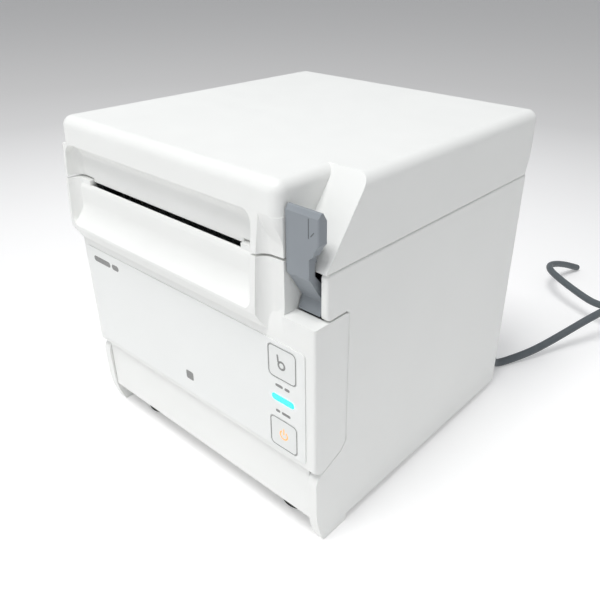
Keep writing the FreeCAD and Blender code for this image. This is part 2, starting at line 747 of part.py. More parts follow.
def make_open_lever():
    """The thumb plate, the cranked arm below it and the hub on the latch shaft."""
    lever = Moulding("open_lever")
    left, right, step = CHANNEL + 0.5, HALF - 0.3, CHANNEL + 9.5
    front, back = FRONT + 1.8, FRONT + 4.5
    upper = [
        (front, 112.0), (back + 0.7, 112.0), (back + 0.7, 126.0), (FRONT + 3.6, 128.6),
        (FRONT + 2.8, 128.6), (front, 127.1),
    ]
    lever.pad("YZ", (left, right), upper)
    notch = [
        (step, 111.0), (right + 1, 111.0), (right + 1, 119.0), (right, 119.0), (right - 1.2, 117.6),
        (step + 1.3, 114.9), (step, 114.0),
    ]
    lever.pocket("XZ", (FRONT, FRONT + 6), notch)
    lever.round_edges(0.8, edge_at("z", x=right, y=front))
    lever.pad("XZ", (front, back), rectangle((left, step), (107.0, 112.5)))
    arm = [
        (front, 109.0), (front, 107.6), (FRONT + 8.4, 97.1), (FRONT + 6.7, 92.8),
        (FRONT + 10.6, 92.8), (FRONT + 11.8, 98.8), (back, 107.6), (back, 109.0),
    ]
    lever.pad("YZ", (left, step), arm)
    rib = [(back, 113.0), (FRONT + 8.2, 118.5), (back, 125.0)]
    lever.pad("YZ", (step - 2.4, step), rib)
    reach = 3.4
    link = [
        (FRONT + 9, 94.0), (LATCH[0], LATCH[1] - reach), (LATCH[0], LATCH[1] + reach), (FRONT + 9, 101.0),
    ]
    lever.pad("YZ", (left + 2.0, left + 8.0), link)
    lever.pad_rounds("YZ", (left + 2.0, left + 8.0), [LATCH], 4.2)
    lever.pocket_rounds("YZ", (left, step + 1), [LATCH], dim("latch_radius"))
    node(lever.body, "open_lever")


def make_latch():
    """The shaft the lever turns, its two hooks and the return spring."""
    node(rod("shaft", "X", dim("latch_radius"), (-60.2, *LATCH), 121.2), "latch_shaft")
    hooks = []
    for name, x in (("left_hook", -59.7), ("right_hook", 37.7)):
        hook = Moulding(name)
        y, z = LATCH
        side = [
            (y - 3.2, z), (y + 3.2, z), (y + 3.4, z + 11), (y + 2.6, z + 14), (y + 2.4, z + 17.5),
            (y - 0.5, z + 16.0), (y - 1.6, z + 9),
        ]
        hook.pad("YZ", (x, x + 1.3), side)
        hook.pad_rounds("YZ", (x, x + 1.3), [LATCH], 3.8)
        hook.pocket_rounds("YZ", (x - 1, x + 3), [LATCH], dim("latch_radius"))
        hooks.append(hook.body)
    node(group("hook_pair", hooks), "latch_hooks")
    spring = coil("lever_coil", radius=3.0, wire=0.35, pitch=0.9, length=7.2)
    spring.Placement = Placement(Vector(40.4, LATCH[0].value, LATCH[1].value), TURN["X"])
    node(spring, "lever_spring")


def coil(name, radius, wire, pitch, length):
    """A helical wire spring along Z."""
    path = Part.makeHelix(pitch, length, radius)
    start = Part.Wire(Part.makeCircle(wire, Vector(radius, 0, 0), Vector(0, 1, 0)))
    return shape_of(name, Part.Wire(path).makePipeShell([start], True, True))


# ---------------------------------------------------------------- gears

PRESSURE = math.radians(20)


def involute(angle):
    return math.tan(angle) - angle


def tooth_half_angle(teeth, module, radius):
    """Half the angle a tooth fills at one radius, with a little play taken off."""
    pitch_radius = teeth * module / 2
    base_radius = pitch_radius * math.cos(PRESSURE)
    play = 0.07 / pitch_radius
    lean = math.acos(base_radius / max(radius, base_radius))
    return math.pi / (2 * teeth) - play + involute(PRESSURE) - involute(lean)


def gear_wire(teeth, module, phase):
    """The outline of a spur gear in the YZ plane, one tooth centred on the phase angle."""
    pitch_radius = teeth * module / 2
    root, tip = pitch_radius - 1.3 * module, pitch_radius + 0.85 * module
    base_radius = pitch_radius * math.cos(PRESSURE)
    foot = max(root + 0.05 * module, base_radius)
    flank = [foot + (tip - foot) * step / 4 for step in range(5)]
    half = [(root, tooth_half_angle(teeth, module, foot) * 0.9)]
    half += [(radius, tooth_half_angle(teeth, module, radius)) for radius in flank]
    points = []
    for tooth in range(teeth):
        centre = phase + 2 * math.pi * tooth / teeth
        for radius, angle in half:
            points.append((radius, centre - angle))
        for radius, angle in reversed(half):
            points.append((radius, centre + angle))
    corners = [Vector(0, r * math.cos(a), r * math.sin(a)) for r, a in points]
    return Part.makePolygon(corners + corners[:1])


def spur_gear(name, teeth, module, phase, centre, x, width, bore):
    """A spur gear on an axis parallel to X, with its bore."""
    disc = Part.Face(gear_wire(teeth, module, phase)).extrude(Vector(width, 0, 0))
    hole = Part.makeCylinder(bore, width + 2, Vector(-1, 0, 0), Vector(1, 0, 0))
    gear = shape_of(name, disc.cut(hole))
    gear.Placement.Base = Vector(x, centre[0].value, centre[1].value)
    return gear


def beside(centre, radius, angle):
    """The point at a distance from a centre in the YZ plane."""
    return (centre[0] + radius * math.cos(angle), centre[1] + radius * math.sin(angle))


FINE = 0.6  # module of the paper feed and cutter gears
MESH_GAP = 0.06  # spread of each pair of gears beyond its exact distance
PLATEN_TEETH, SMALL_TEETH, BIG_TEETH, PINION_TEETH = 24, 12, 36, 12
PLATEN_TO_REDUCTION = math.radians(-53.0)
REDUCTION_TO_MOTOR = math.radians(-96.8)
REDUCTION = beside(PLATEN, (PLATEN_TEETH + SMALL_TEETH) * FINE / 2 + MESH_GAP, PLATEN_TO_REDUCTION)
FEED_AXIS = beside(REDUCTION, (BIG_TEETH + PINION_TEETH) * FINE / 2 + MESH_GAP, REDUCTION_TO_MOTOR)
CUTTER_TO_MOTOR = math.radians(-46.0)
CUTTER_AXIS = beside(CUTTER, (BIG_TEETH + PINION_TEETH) * FINE / 2 + MESH_GAP, CUTTER_TO_MOTOR)
RACK_MODULE = 0.8
RACK_TEETH = 12


def opposite_gap(angle, teeth):
    """The phase that puts a gap, not a tooth, towards the gear this angle comes from."""
    return angle + math.pi + math.pi / teeth


# ---------------------------------------------------------------- paper feed

def make_platen():
    """The roller that moves the paper: steel shaft, rubber sleeve, two bushes and its gear."""
    radius = dim("shaft_radius")
    node(rod("platen_axle", "X", radius, (-60.0, *PLATEN), 103.7), "platen_shaft")
    face = PAPER_WIDTH + 3
    sleeve = rod("sleeve", "X", dim("platen_radius"), (PAPER_X - face / 2, *PLATEN), face)
    bore = rod("sleeve_bore", "X", radius, (PAPER_X - face / 2 - 1, *PLATEN), face + 2)
    node(cut("rubber_sleeve", sleeve, [bore]), "platen_roller")
    bushes = []
    for name, x in (("left_bush", -59.6), ("right_bush", 34.1)):
        outer = rod(name + "_outer", "X", dim("bush_radius"), (x, *PLATEN), 5.3)
        hole = rod(name + "_hole", "X", radius + dim("run_gap"), (x - 1, *PLATEN), 7.3)
        bushes.append(cut(name, outer, [hole]))
    node(group("bush_pair", bushes), "platen_bushes")
    gear = spur_gear("feed_gear", PLATEN_TEETH, FINE, PLATEN_TO_REDUCTION, PLATEN, 39.9, 3.8, 2.5)
    node(gear, "platen_gear")


def make_platen_holder():
    """The steel bracket under the lid that carries the roller and the fixed blade."""
    left, right, sheet_gap = -55.6, 35.6, 1.4
    rear = FRONT + 36
    plate = box("holder_top", (left, right), (FRONT + 15.3, rear), (121.0, 123.0))
    flange = box("holder_flange", (left, right), (FRONT + 15.3, FRONT + 16.7), (112.0, 122.0))
    arms = [box(f"holder_arm{i}", (x, x + sheet_gap), (FRONT + 20, FRONT + 32), (107.8, 122.0))
            for i, x in enumerate((left, right - sheet_gap))]
    bent = fuse("holder_bent", [plate, flange] + arms)
    holes = [rod("holder_bush_hole", "X", dim("bush_radius"), (-60.0, *PLATEN), 110.0)]
    holes += [rod(f"holder_hole{i}", "Z", 1.1, (x, y, 120.0), 4.0)
              for i, (x, y) in enumerate(holder_screw_places())]
    node(cut("holder", bent, holes), "platen_holder")


def make_feed_drive():
    """The stepper motor, its pinion and the double reduction gear on its stud."""
    face = dim("frame_right") - dim("frame_sheet") - 0.1
    can = rod("feed_can", "X", 12.0, (face - 20, *FEED_AXIS), 20.0)
    bore = rod("feed_can_bore", "X", 1.05, (face - 8, *FEED_AXIS), 9.0)
    node(cut("feed_body", can, [bore]), "feed_motor")
    node(rod("feed_axle", "X", 1.0, (face - 7, *FEED_AXIS), 18.6), "feed_motor_shaft")
    phase = opposite_gap(REDUCTION_TO_MOTOR, PINION_TEETH)
    node(spur_gear("feed_pinion_wheel", PINION_TEETH, FINE, phase, FEED_AXIS, 44.0, 3.4, 1.0), "feed_pinion")
    stud = rod("stud_bar", "X", 1.5, (dim("frame_right") - 1.0, *REDUCTION), 11.4)
    collar = rod("stud_collar", "X", 3.0, (dim("frame_right"), *REDUCTION), 2.0)
    node(fuse("stud", [stud, collar]), "gear_stud")
    small_phase = opposite_gap(PLATEN_TO_REDUCTION, SMALL_TEETH)
    small = spur_gear("small_wheel", SMALL_TEETH, FINE, small_phase, REDUCTION, 39.9, 4.2, 1.55)
    big = spur_gear("big_wheel", BIG_TEETH, FINE, REDUCTION_TO_MOTOR, REDUCTION, 44.1, 3.0, 1.55)
    node(fuse("double_wheel", [small, big]), "reduction_gear")


def make_head():
    """The thermal head on its heat sink, with the springs that press it up to the roller."""
    plate, line = PAPER_WIDTH / 2 + 2, PAPER_WIDTH / 2 + 0.5
    head = box("head_plate", (PAPER_X - plate, PAPER_X + plate), (FRONT + 19.5, FRONT + 33), (105.6, 106.5))
    ridge = box("head_glaze", (PAPER_X - line, PAPER_X + line), (PLATEN[0] - 0.8, PLATEN[0] + 0.8),
                (106.0, 106.9))
    node(fuse("head", [head, ridge]), "thermal_head")
    block = box("sink_block", (-54.0, 34.0), (FRONT + 18.5, FRONT + 36), (103.4, 105.6))
    fins = [box(f"sink_fin{i}", (-54.0, 34.0), (FRONT + 19 + 4 * i, FRONT + 20.2 + 4 * i), (102.5, 104.0))
            for i in range(4)]
    node(fuse("sink", [block] + fins), "heat_sink")
    springs = []
    for number, x in enumerate((-42.0, -8.0)):
        spring = coil(f"head_coil{number}", radius=2.2, wire=0.3, pitch=1.6, length=9.4)
        spring.Placement.Base = Vector(x, FRONT.value + 30, 92.5)
        springs.append(spring)
    node(group("head_coil_pair", springs), "head_springs")


# ---------------------------------------------------------------- cutter

def make_fixed_blade():
    """The upper blade, ground to an edge, screwed to the holder's flange."""
    blade = Moulding("fixed_blade")
    side = [
        (FRONT + 14.1, 109.8), (FRONT + 14.5, 109.8), (FRONT + 15.3, 111.5),
        (FRONT + 15.3, 120.0), (FRONT + 14.1, 120.0),
    ]
    blade.pad("YZ", (-54.0, 32.0), side)
    node(blade.body, "fixed_blade")


def make_movable_blade():
    """The lower blade with its shallow V edge and two racks on its back."""
    plate = Moulding("blade_plate")
    left, right, low = -52.0, 30.0, 84.0
    edge = [
        (left, low), (PAPER_X - 20, low), (PAPER_X - 18, 72.0), (PAPER_X + 18, 72.0), (PAPER_X + 20, low),
        (right, low), (right, 106.0), (PAPER_X, 103.6), (left, 106.0),
    ]
    plate.pad("XZ", (FRONT + 13, FRONT + 13.8), edge)
    pitch = math.pi * RACK_MODULE
    face = CUTTER[0].value - RACK_TEETH * RACK_MODULE / 2 - MESH_GAP
    root, tip = face - 1.25 * RACK_MODULE, face + 0.85 * RACK_MODULE
    slope = math.tan(PRESSURE)
    teeth = 6
    corners = [Vector(0, FRONT.value + 13.7, CUTTER[1].value - pitch * teeth / 2)]
    for number in range(teeth):
        middle_z = CUTTER[1].value + pitch * (number - teeth / 2 + 0.5)
        for y, side in ((root, -1), (tip, -1), (tip, 1), (root, 1)):
            half = pitch / 4 - 0.07 - (y - face) * slope
            corners.append(Vector(0, y, middle_z + side * half))
    corners.append(Vector(0, FRONT.value + 13.7, CUTTER[1].value + pitch * teeth / 2))
    strip = Part.Face(Part.makePolygon(corners + corners[:1])).extrude(Vector(6, 0, 0))
    racks = []
    for name, x in (("left_rack", PAPER_X - 16), ("right_rack", PAPER_X + 10)):
        rack = shape_of(name, strip)
        rack.Placement.Base = Vector(x.value, 0, 0)
        racks.append(rack)
    node(fuse("blade_with_racks", [plate.body] + racks), "movable_blade")


def make_cutter_drive():
    """The pinion shaft that lifts the blade, its gear, and the small motor that turns it."""
    start, end = dim("frame_left") - 1.0, 15.9
    bar = rod("cutter_bar", "X", 1.5, (start, *CUTTER), as_size(end) - start)
    wheels = [spur_gear(f"rack_wheel{i}", RACK_TEETH, RACK_MODULE, 0.0, CUTTER, x.value - 0.5, 7.0, 1.4)
              for i, x in enumerate((PAPER_X - 16, PAPER_X + 10))]
    node(fuse("pinion_bar", [bar] + wheels), "cutter_shaft")
    big = spur_gear("cutter_wheel", BIG_TEETH, FINE, CUTTER_TO_MOTOR, CUTTER, -55.6, 2.5, 1.5)
    node(big, "cutter_gear")
    can = rod("cutter_can", "X", 9.5, (-51.1, *CUTTER_AXIS), 21.0)
    bore = rod("cutter_can_bore", "X", 1.05, (-52.0, *CUTTER_AXIS), 9.0)
    node(cut("cutter_body", can, [bore]), "cutter_motor")
    node(rod("cutter_axle", "X", 1.0, (-55.8, *CUTTER_AXIS), 11.0), "cutter_motor_shaft")
    phase = opposite_gap(CUTTER_TO_MOTOR, PINION_TEETH)
    pinion = spur_gear("cutter_small", PINION_TEETH, FINE, phase, CUTTER_AXIS, -55.6, 2.6, 1.0)
    node(pinion, "cutter_pinion")


def make_mechanism_frame():
    """The steel frame: two side plates, a cross plate, two inner brackets and the spring shelf."""
    thick = dim("frame_sheet")
    left, right = dim("frame_left"), dim("frame_right")
    depth, height = (FRONT + 8, FRONT + 42), (60.0, 116.0)
    plates = [
        box("frame_left_plate", (left, left + thick), depth, height),
        box("frame_right_plate", (right - thick, right), depth, height),
        box("frame_cross", (-62.3, 62.3), (FRONT + 19, FRONT + 42), (60.0, 61.4)),
        box("frame_motor_bracket", (-52.5, -51.2), (FRONT + 19, FRONT + 42), (61.0, 90.0)),
        box("frame_shaft_bracket", (14.3, 15.6), (FRONT + 16, FRONT + 42), (61.0, 92.3)),
        box("frame_shelf", (left + 1, 15.0), (FRONT + 28, FRONT + 36), (91.0, 92.2)),
    ]
    slot_half = dim("bush_radius") + 0.1
    holes = [
        rod("bush_seat", "X", slot_half, (-59.0, *PLATEN), 100.0),
        box("bush_slot", (-59.0, 41.0), (PLATEN[0] - slot_half, PLATEN[0] + slot_half), (PLATEN[1], 117.0)),
        rod("latch_hole", "X", dim("latch_radius") + dim("run_gap"), (-59.0, *LATCH), 100.0),
        rod("cutter_hole", "X", 1.5 + dim("run_gap"), (-59.0, *CUTTER), 80.0),
        rod("cutter_shaft_hole", "X", 2.0, (-59.0, *CUTTER_AXIS), 10.0),
        rod("feed_shaft_hole", "X", 3.0, (30.0, *FEED_AXIS), 10.0),
        rod("stud_hole", "X", 1.5, (30.0, *REDUCTION), 10.0),
    ]
    holes += [rod(f"post_hole{i}", "Z", 1.4, (x, y, 59.0), 3.5)
              for i, (x, y) in enumerate(frame_post_places())]
    node(cut("frame", fuse("frame_plates", plates), holes), "mechanism_frame")


# ---------------------------------------------------------------- paper bay

def make_paper_bay():
    """The drop-in bucket for the roll, with the deck that closes the case round it."""
    bay = Moulding("paper_bay")
    half, wall = dim("bay_width") / 2, dim("bay_wall")
    x = (PAPER_X - half, PAPER_X + half)
    y = (FRONT + dim("bay_front"), FRONT + dim("bay_rear"))
    low, deck = dim("bay_low"), SEAM - 0.4
    bay.pad("XY", (low - wall, deck), rectangle((x[0] - wall, x[1] + wall), (y[0] - wall, y[1] + wall)))
    inner = HALF - WALL - 0.2
    bay.pad("XY", (deck - 2, deck), rectangle((-inner, inner), (y[0] - 0.4, y[1] + wall)))
    bay.pocket("XY", (low, SEAM + 5), rectangle(x, y))
    bay.round_edges(3.0, lambda edge: near(middle(edge).z, low) and edge.Length > 60)
    node(bay.body, "paper_bay")


def make_paper_guide():
    """The guide between the bay and the head, with the paper sensor let into it."""
    guide = Moulding("paper_guide")
    side = [
        (FRONT + 36.4, 104.9), (FRONT + 43.2, 104.9), (FRONT + 43.2, 106.0, 1.2),
        (FRONT + 42.0, 107.2), (FRONT + 36.4, 106.6),
    ]
    guide.pad("YZ", (-56.0, 35.9), side)
    seat = rectangle((PAPER_X - 3.1, PAPER_X + 3.1), (FRONT + 37.4, FRONT + 41.1))
    guide.pocket("XY", (104.0, 108.0), seat)
    node(guide.body, "paper_guide")
    sensor = box("sensor", (PAPER_X - 3, PAPER_X + 3), (FRONT + 37.5, FRONT + 41), (104.0, 106.5))
    node(sensor, "paper_sensor")


# ---------------------------------------------------------------- electronics

BOARD_TOP = dim("board_z") + 1.6


def make_boards():
    """The main board on its posts, the chips on it, and the small board behind the keys."""
    board = Moulding("main_board")
    board.pad("XY", (dim("board_z"), BOARD_TOP), rectangle((-54.0, 54.0), (FRONT + 46, FRONT + 126)))
    node(board.body, "main_board")
    chips = [
        box("processor", (-20.0, 0.0), (FRONT + 70, FRONT + 90), (BOARD_TOP, BOARD_TOP + 1.6)),
        box("memory", (6.0, 16.0), (FRONT + 72, FRONT + 88), (BOARD_TOP, BOARD_TOP + 1.2)),
        box("head_connector", (-35.0, -5.0), (FRONT + 48, FRONT + 53), (BOARD_TOP, BOARD_TOP + 3)),
        rod("capacitor", "Z", 6.0, (36.0, FRONT + 64, BOARD_TOP), 14.0),
        box("choke", (28.0, 40.0), (FRONT + 84, FRONT + 96), (BOARD_TOP, BOARD_TOP + 7)),
    ]
    node(group("chip_set", chips), "board_chips")
    panel = box("key_board", (42.5, 59.3), (FRONT + 6.6, FRONT + 8.2), (38.0, 81.5))
    node(panel, "panel_board")
    switches = []
    for name, z in (("feed_switch", FEED_Z), ("power_switch", POWER_Z)):
        body = box(name + "_body", (KEY_X - 3, KEY_X + 3), (FRONT + 5.2, FRONT + 6.6), (z - 3, z + 3))
        tip = rod(name + "_tip", "Y", 1.6, (KEY_X, FRONT + 4.5, z), 0.8)
        switches.append(fuse(name, [body, tip]))
    node(group("switch_pair", switches), "tact_switches")
    light = box("light_chip", (KEY_X - 3, KEY_X + 3), (FRONT + 4.0, FRONT + 6.6),
                (dim("light_z") - 1, dim("light_z") + 1))
    node(light, "indicator_led")


def make_head_cable():
    """The flat flexible cable from the head down to the main board."""
    y, z = FRONT + 42.3, BOARD_TOP + 3
    pieces = [
        box("flex_top", (-35.0, -5.0), (FRONT + 36, y + 0.3), (103.7, 104.0)),
        box("flex_drop", (-35.0, -5.0), (y, y + 0.3), (z, 104.0)),
        box("flex_foot", (-35.0, -5.0), (y, FRONT + 50), (z, z + 0.3)),
    ]
    node(fuse("flex", pieces), "head_flex_cable")


SOCKETS = {
    # name: (low x, width, height, depth of the body, opening width, opening height)
    "usb_socket": (14.0, 12.0, 11.0, 16.0, 8.5, 7.8),
    "network_socket": (-10.0, 16.0, 13.5, 20.0, 12.0, 8.0),
    "drawer_socket": (-36.0, 14.0, 12.5, 18.0, 10.0, 7.0),
}


INLET_X = 36.5
INLET_Z = BOARD_TOP + 5.5


def make_sockets():
    """The rear sockets on the main board and the steel plate they show through."""
    face = REAR - 1.0
    windows = []
    for name, (x, width, height, depth, mouth_width, mouth_height) in SOCKETS.items():
        shell = box(name + "_shell", (x, x + width), (face - depth, face), (BOARD_TOP, BOARD_TOP + height))
        middle_x = x + width / 2
        mouth = box(name + "_mouth", (middle_x - mouth_width / 2, middle_x + mouth_width / 2),
                    (face - depth + 3, face + 1), (BOARD_TOP + 2, BOARD_TOP + 2 + mouth_height))
        node(cut(name + "_body", shell, [mouth]), name)
        windows.append(box(name + "_window", (x - 0.2, x + width + 0.2), (REAR - PAST, REAR + 1),
                           (BOARD_TOP - 0.2, BOARD_TOP + height + 0.2)))
    inlet = box("inlet_shell", (INLET_X - 5.5, INLET_X + 5.5), (face - 14, face), (BOARD_TOP, BOARD_TOP + 11))
    hole = rod("inlet_hole", "Y", 2.9, (INLET_X, face - 11, INLET_Z), 12.0)
    node(cut("inlet_body", inlet, [hole]), "dc_inlet")
    windows.append(box("inlet_window", (INLET_X - 5.7, INLET_X + 5.7), (REAR - PAST, REAR + 1),
                       (BOARD_TOP - 0.2, BOARD_TOP + 11.2)))
    plate = box("rear_plate", (-50.0, 54.0), (REAR - WALL - 1.1, REAR - WALL - 0.1), (9.6, 32.5))
    node(cut("rear_plate_cut", plate, windows), "connector_plate")


PLUG_Y = REAR + 5.2
CABLE_BENDS = [
    # where the lead is bent: it drops behind the case, swings out along the table and loops back
    (56.0, 72.2, 18.7), (59.0, 72.8, 13.5), (58.6, 75.0, 6.0), (58.6, 80.5, 1.2),
    (63.0, 88.0, 2.4), (68.6, 98.6, 4.0), (73.8, 111.0, 7.0), (80.7, 126.4, 12.5),
    (86.3, 137.5, 17.0), (90.0, 147.5, 18.4), (86.5, 155.0, 14.6), (78.5, 156.6, 12.8),
    (66.9, 160.4, 14.4), (52.5, 166.4, 16.4), (41.5, 175.6, 16.2), (38.0, 189.0, 13.4),
    (41.5, 205.0, 8.4), (43.8, 213.0, 4.5), (45.3, 218.5, 2.1),
]


def make_power_cable():
    """The angled plug in the inlet and the lead that runs off it along the table."""
    pieces = [
        rod("plug_barrel", "Y", 2.75, (INLET_X, REAR - 10.5, INLET_Z), 11.5),
        rod("plug_body", "Y", 5.0, (INLET_X, REAR - 0.6, INLET_Z), 10.0),
        rod("plug_arm", "X", 4.0, (INLET_X, PLUG_Y, INLET_Z), 11.0),
        rod("plug_relief", "X", 3.0, (INLET_X + 10, PLUG_Y, INLET_Z), 4.95),
    ]
    node(fuse("plug", pieces), "power_plug")
    start = Vector(INLET_X + 15, PLUG_Y.value, INLET_Z.value)
    curve = Part.BSplineCurve()
    curve.buildFromPoles([start] + [Vector(*bend) for bend in CABLE_BENDS], False, 3)
    leaving = Vector(*CABLE_BENDS[0]) - start
    ring = Part.Wire(Part.makeCircle(dim("cable_radius").value, start, leaving))
    lead = Part.Wire(curve.toShape()).makePipeShell([ring], True, True)
    node(shape_of("lead", lead), "power_cable")


# ---------------------------------------------------------------- build and write

def make_all():
    make_lower_case()
    make_top_cover()
    make_front_panel()
    make_panel_overlay()
    make_key("feed_key", FEED_Z)
    make_key("power_key", POWER_Z)
    make_status_light()
    make_lower_front_cover()
    make_base_plate()
    make_frame_posts()
    make_rubber_feet()
    make_screws()
    make_hinge_pins()
    make_open_lever()
    make_latch()
    make_platen()
    make_platen_holder()
    make_feed_drive()
    make_head()
    make_fixed_blade()
    make_movable_blade()
    make_cutter_drive()
    make_mechanism_frame()
    make_paper_bay()
    make_paper_guide()
    make_boards()
    make_head_cable()
    make_sockets()
    make_power_cable()


def write_all():
    """Check every object, then write one STEP file for each node."""
    doc.recompute()
    failed = [item.Name for item in doc.Objects if {"Invalid", "Error"} & set(item.State)]
    assert not failed, f"failed objects: {failed}"
    os.makedirs("parts", exist_ok=True)
    for item in nodes:
        assert not item.Shape.isNull() and item.Shape.isValid(), f"{item.Label} has a bad shape"
        item.Shape.exportStep(f"parts/{item.Label}.step")
        print(f"{item.Label}: {len(item.Shape.Solids)} solid(s), {item.Shape.Volume:.1f} mm3")


make_all()
write_all()
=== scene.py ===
import bmesh
import bpy
import math
from mathutils import Matrix, Vector


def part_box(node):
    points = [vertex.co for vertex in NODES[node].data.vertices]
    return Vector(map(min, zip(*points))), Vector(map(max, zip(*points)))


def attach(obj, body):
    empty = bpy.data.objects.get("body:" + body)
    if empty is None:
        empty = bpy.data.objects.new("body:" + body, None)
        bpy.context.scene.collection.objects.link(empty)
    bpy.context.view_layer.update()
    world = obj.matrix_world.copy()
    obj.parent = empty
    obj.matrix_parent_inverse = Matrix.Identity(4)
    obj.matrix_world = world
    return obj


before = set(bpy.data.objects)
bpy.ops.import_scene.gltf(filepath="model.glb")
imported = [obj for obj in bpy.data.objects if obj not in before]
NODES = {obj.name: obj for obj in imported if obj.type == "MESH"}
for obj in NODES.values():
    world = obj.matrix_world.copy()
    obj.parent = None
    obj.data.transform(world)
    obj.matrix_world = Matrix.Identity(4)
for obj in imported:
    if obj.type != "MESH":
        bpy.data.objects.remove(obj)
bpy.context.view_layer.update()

MM = 0.001


# ---------------------------------------------------------------- materials

class Surface:
    """A material being built: the principled shader and the few moves every finish needs."""

    def __init__(self, name, **values):
        self.material = bpy.data.materials.new(name)
        self.material.use_nodes = True
        self.tree = self.material.node_tree
        self.shader = self.tree.nodes["Principled BSDF"]
        for key, value in values.items():
            self.shader.inputs[key.replace("_", " ")].default_value = value
        self.place = self.add("TexCoord").outputs["Object"]
        self.normal = None

    def add(self, kind, **settings):
        made = self.tree.nodes.new("ShaderNode" + kind)
        for key, value in settings.items():
            setattr(made, key, value)
        return made

    def link(self, source, target):
        self.tree.links.new(source, target)

    def stretched(self, scale):
        """The object's own coordinates in metres, scaled along each axis."""
        mapping = self.add("Mapping")
        mapping.inputs["Scale"].default_value = scale
        self.link(self.place, mapping.inputs["Vector"])
        return mapping.outputs["Vector"]

    def noise(self, size, detail=2.0, place=None):
        """Cloudy noise whose blobs are about size metres across."""
        made = self.add("TexNoise")
        made.inputs["Scale"].default_value = 1 / size
        made.inputs["Detail"].default_value = detail
        self.link(place or self.place, made.inputs["Vector"])
        return made.outputs["Fac"]

    def cells(self, size):
        made = self.add("TexVoronoi")
        made.inputs["Scale"].default_value = 1 / size
        self.link(self.place, made.inputs["Vector"])
        return made.outputs["Distance"]

    def spread(self, value, low, high, start=0.3, end=0.7):
        """Maps the middle of a noise to the span from low to high."""
        made = self.add("MapRange")
        for key, number in (("From Min", start), ("From Max", end), ("To Min", low), ("To Max", high)):
            made.inputs[key].default_value = number
        self.link(value, made.inputs["Value"])
        return made.outputs["Result"]

    def mix(self, amount, first, second):
        """Colour between first and second; each is a colour or a socket."""
        made = self.add("Mix", data_type="RGBA")
        for key, value in (("Factor", amount), ("A", first), ("B", second)):
            socket = made.inputs[key]
            if isinstance(value, bpy.types.NodeSocket):
                self.link(value, socket)
            elif isinstance(value, (int, float)):
                socket.default_value = value
            else:
                socket.default_value = (*value, 1.0)
        return made.outputs["Result"]

    def colour(self, value):
        self.link(value, self.shader.inputs["Base Color"])

    def roughness(self, value):
        self.link(value, self.shader.inputs["Roughness"])

    def edges(self, radius):
        """Softens the shading of sharp edges as if they had this radius; returns the edge mask."""
        bevel = self.add("Bevel", samples=4)
        bevel.inputs["Radius"].default_value = radius
        self.normal = bevel.outputs["Normal"]
        self.link(self.normal, self.shader.inputs["Normal"])
        facing = self.add("VectorMath", operation="DOT_PRODUCT")
        self.link(bevel.outputs["Normal"], facing.inputs[0])
        self.link(self.add("NewGeometry").outputs["Normal"], facing.inputs[1])
        return self.spread(facing.outputs["Value"], 1.0, 0.0, start=0.86, end=0.99)

    def bump(self, height, depth, strength=1.0):
        """Adds relief of depth metres on top of the relief already there."""
        made = self.add("Bump")
        made.inputs["Strength"].default_value = strength
        made.inputs["Distance"].default_value = depth
        self.link(height, made.inputs["Height"])
        if self.normal:
            self.link(self.normal, made.inputs["Normal"])
        self.normal = made.outputs["Normal"]
        self.link(self.normal, self.shader.inputs["Normal"])


def moulded(name, colour, rough, grain, depth, shade=0.03, worn=None, edge=0.35 * MM):
    """Injection-moulded plastic: spark-eroded grain, slow changes of colour, rubbed edges."""
    made = Surface(name, IOR=1.5)
    dark = [channel * (1 - shade) for channel in colour]
    body = made.mix(made.spread(made.noise(35 * MM, 3.0), 0.0, 1.0), dark, colour)
    rubbed = made.edges(edge)
    made.colour(made.mix(rubbed, body, worn or [min(1.0, channel * 1.06) for channel in colour]))
    made.roughness(made.spread(made.noise(9 * MM, 4.0), rough - 0.05, rough + 0.06))
    made.bump(made.noise(grain, 3.0), depth, 0.5)
    return made


def metal(name, colour, rough, grain, depth, stretch=(1, 1, 1)):
    """Bare or plated metal with its grain drawn out along one axis."""
    made = Surface(name, Metallic=1.0)
    along = made.stretched(stretch)
    streaks = made.noise(grain, 4.0, along)
    dark = [channel * 0.82 for channel in colour]
    stained = made.mix(made.spread(made.noise(14 * MM, 4.0), 0.0, 1.0), dark, colour)
    rubbed = made.edges(0.12 * MM)
    made.colour(made.mix(rubbed, stained, [min(1.0, channel * 1.15) for channel in colour]))
    made.roughness(made.spread(streaks, rough - 0.1, rough + 0.12))
    made.bump(streaks, depth, 0.6)
    return made


def white_plastic():
    return moulded("case_white", (0.86, 0.865, 0.845), 0.47, 0.45 * MM, 0.02 * MM, shade=0.018)


def overlay_film():
    """The printed sheet over the control panel; close by the lit lens it carries a painted glow, cyan
    emission standing in for the lens's light on it.
    """
    made = moulded("overlay_sheet", (0.84, 0.85, 0.835), 0.4, 0.3 * MM, 0.012 * MM, shade=0.012)
    low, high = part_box("status_light")
    centre = (low + high) / 2
    offset = made.add("VectorMath", operation="SUBTRACT")
    offset.inputs[1].default_value = centre
    made.link(made.place, offset.inputs[0])
    squeeze = made.add("VectorMath", operation="MULTIPLY")
    squeeze.inputs[1].default_value = (0.45, 1.0, 1.0)
    made.link(offset.outputs["Vector"], squeeze.inputs[0])
    reach = made.add("VectorMath", operation="LENGTH")
    made.link(squeeze.outputs["Vector"], reach.inputs[0])
    # painted glow: the sheet itself emits cyan, fading with distance from the lens, in place of the lens's
    # light falling on it
    painted_glow = made.spread(reach.outputs["Value"], 0.22, 0.0, start=1.2 * MM, end=3.6 * MM)
    made.link(painted_glow, made.shader.inputs["Emission Strength"])
    made.shader.inputs["Emission Color"].default_value = (0.25, 0.75, 0.95, 1.0)
    return made


def key_plastic():
    return moulded("key_cap", (0.80, 0.81, 0.795), 0.38, 0.3 * MM, 0.012 * MM, shade=0.02)


